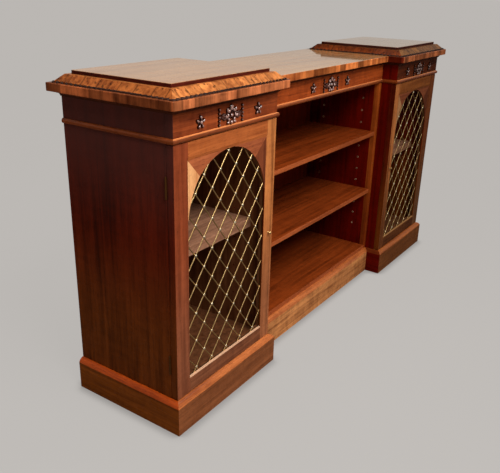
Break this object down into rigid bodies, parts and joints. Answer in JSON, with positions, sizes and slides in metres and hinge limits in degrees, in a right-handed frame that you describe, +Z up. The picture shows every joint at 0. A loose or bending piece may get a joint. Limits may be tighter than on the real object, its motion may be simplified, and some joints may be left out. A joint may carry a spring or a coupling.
{
  "type": "breakfront cabinet",
  "caption": "Low inverted breakfront bookcase: arched brass-lattice cupboards stand forward of an open shelved centre under polished veneered tops with raised end panels.",
  "frame": {"origin": "on the floor, under the middle of the tops' outline", "axes": "+X to the right along the front, +Y from the doors to the back, +Z up"},
  "size_m": [1.8, 0.42, 0.93],
  "materials": {
    "side_veneer": "dark French-polished mahogany",
    "front_veneer": "French-polished mahogany",
    "pale_veneer": "polished golden veneer",
    "top_veneer": "high-gloss polished top",
    "inside_wood": "thin matt varnish",
    "carved_wood": "dark polished carving",
    "brass": "polished, slightly aged"
  },
  "bodies": {
    "carcass": {"bay_lippings": "pale_veneer", "bay_bottom": "front_veneer", "bay_back": "inside_wood", "bay_frieze": "front_veneer", "bay_shelf_lower": "front_veneer", "bay_shelf_upper": "front_veneer", "shelf_pins": "brass", "bay_plinth": "front_veneer", "plinth_back_rail": "inside_wood", "plinth_moulding": "front_veneer", "astragal_moulding": "front_veneer", "bed_moulding": "side_veneer", "bay_top_slab": "top_veneer", "top_beads": "carved_wood", "frame_hinge_leaves": "brass", "hinge_pins": "brass", "ball_catches": "brass", "bay_frieze_carving": "carved_wood", "left_outer_side": "side_veneer", "left_inner_side": "side_veneer", "left_bottom": "inside_wood", "left_back": "inside_wood", "left_frieze": "front_veneer", "left_shelf": "inside_wood", "left_bay_upright": "side_veneer", "left_plinth": "front_veneer", "left_top_slab": "top_veneer", "left_bevelled_frame": "pale_veneer", "left_raised_panel": "top_veneer", "left_frieze_carving": "carved_wood", "right_outer_side": "side_veneer", "right_inner_side": "side_veneer", "right_bottom": "inside_wood", "right_back": "inside_wood", "right_frieze": "front_veneer", "right_shelf": "inside_wood", "right_bay_upright": "side_veneer", "right_plinth": "front_veneer", "right_top_slab": "top_veneer", "right_bevelled_frame": "pale_veneer", "right_raised_panel": "top_veneer", "right_frieze_carving": "carved_wood"},
    "left_door": {"left_door_hinge_stile": "front_veneer", "left_door_lock_stile": "front_veneer", "left_door_top_rail": "front_veneer", "left_door_bottom_rail": "front_veneer", "left_door_spandrels": "pale_veneer", "left_door_grille": "brass", "left_door_grille_bead": "side_veneer", "left_door_knob": "brass", "left_door_hinge_leaves": "brass"},
    "right_door": {"right_door_hinge_stile": "front_veneer", "right_door_lock_stile": "front_veneer", "right_door_top_rail": "front_veneer", "right_door_bottom_rail": "front_veneer", "right_door_spandrels": "pale_veneer", "right_door_grille": "brass", "right_door_grille_bead": "side_veneer", "right_door_knob": "brass", "right_door_hinge_leaves": "brass"}
  },
  "joints": [
    {"name": "left_door_hinge", "type": "hinge", "parent": "carcass", "child": "left_door", "pos_m": [-0.8759, -0.1605, 0.44725], "axis": [0, 0, -1], "range_deg": [0, 170]},
    {"name": "right_door_hinge", "type": "hinge", "parent": "carcass", "child": "right_door", "pos_m": [0.8759, -0.1605, 0.44725], "axis": [0, 0, 1], "range_deg": [0, 170]}
  ]
}
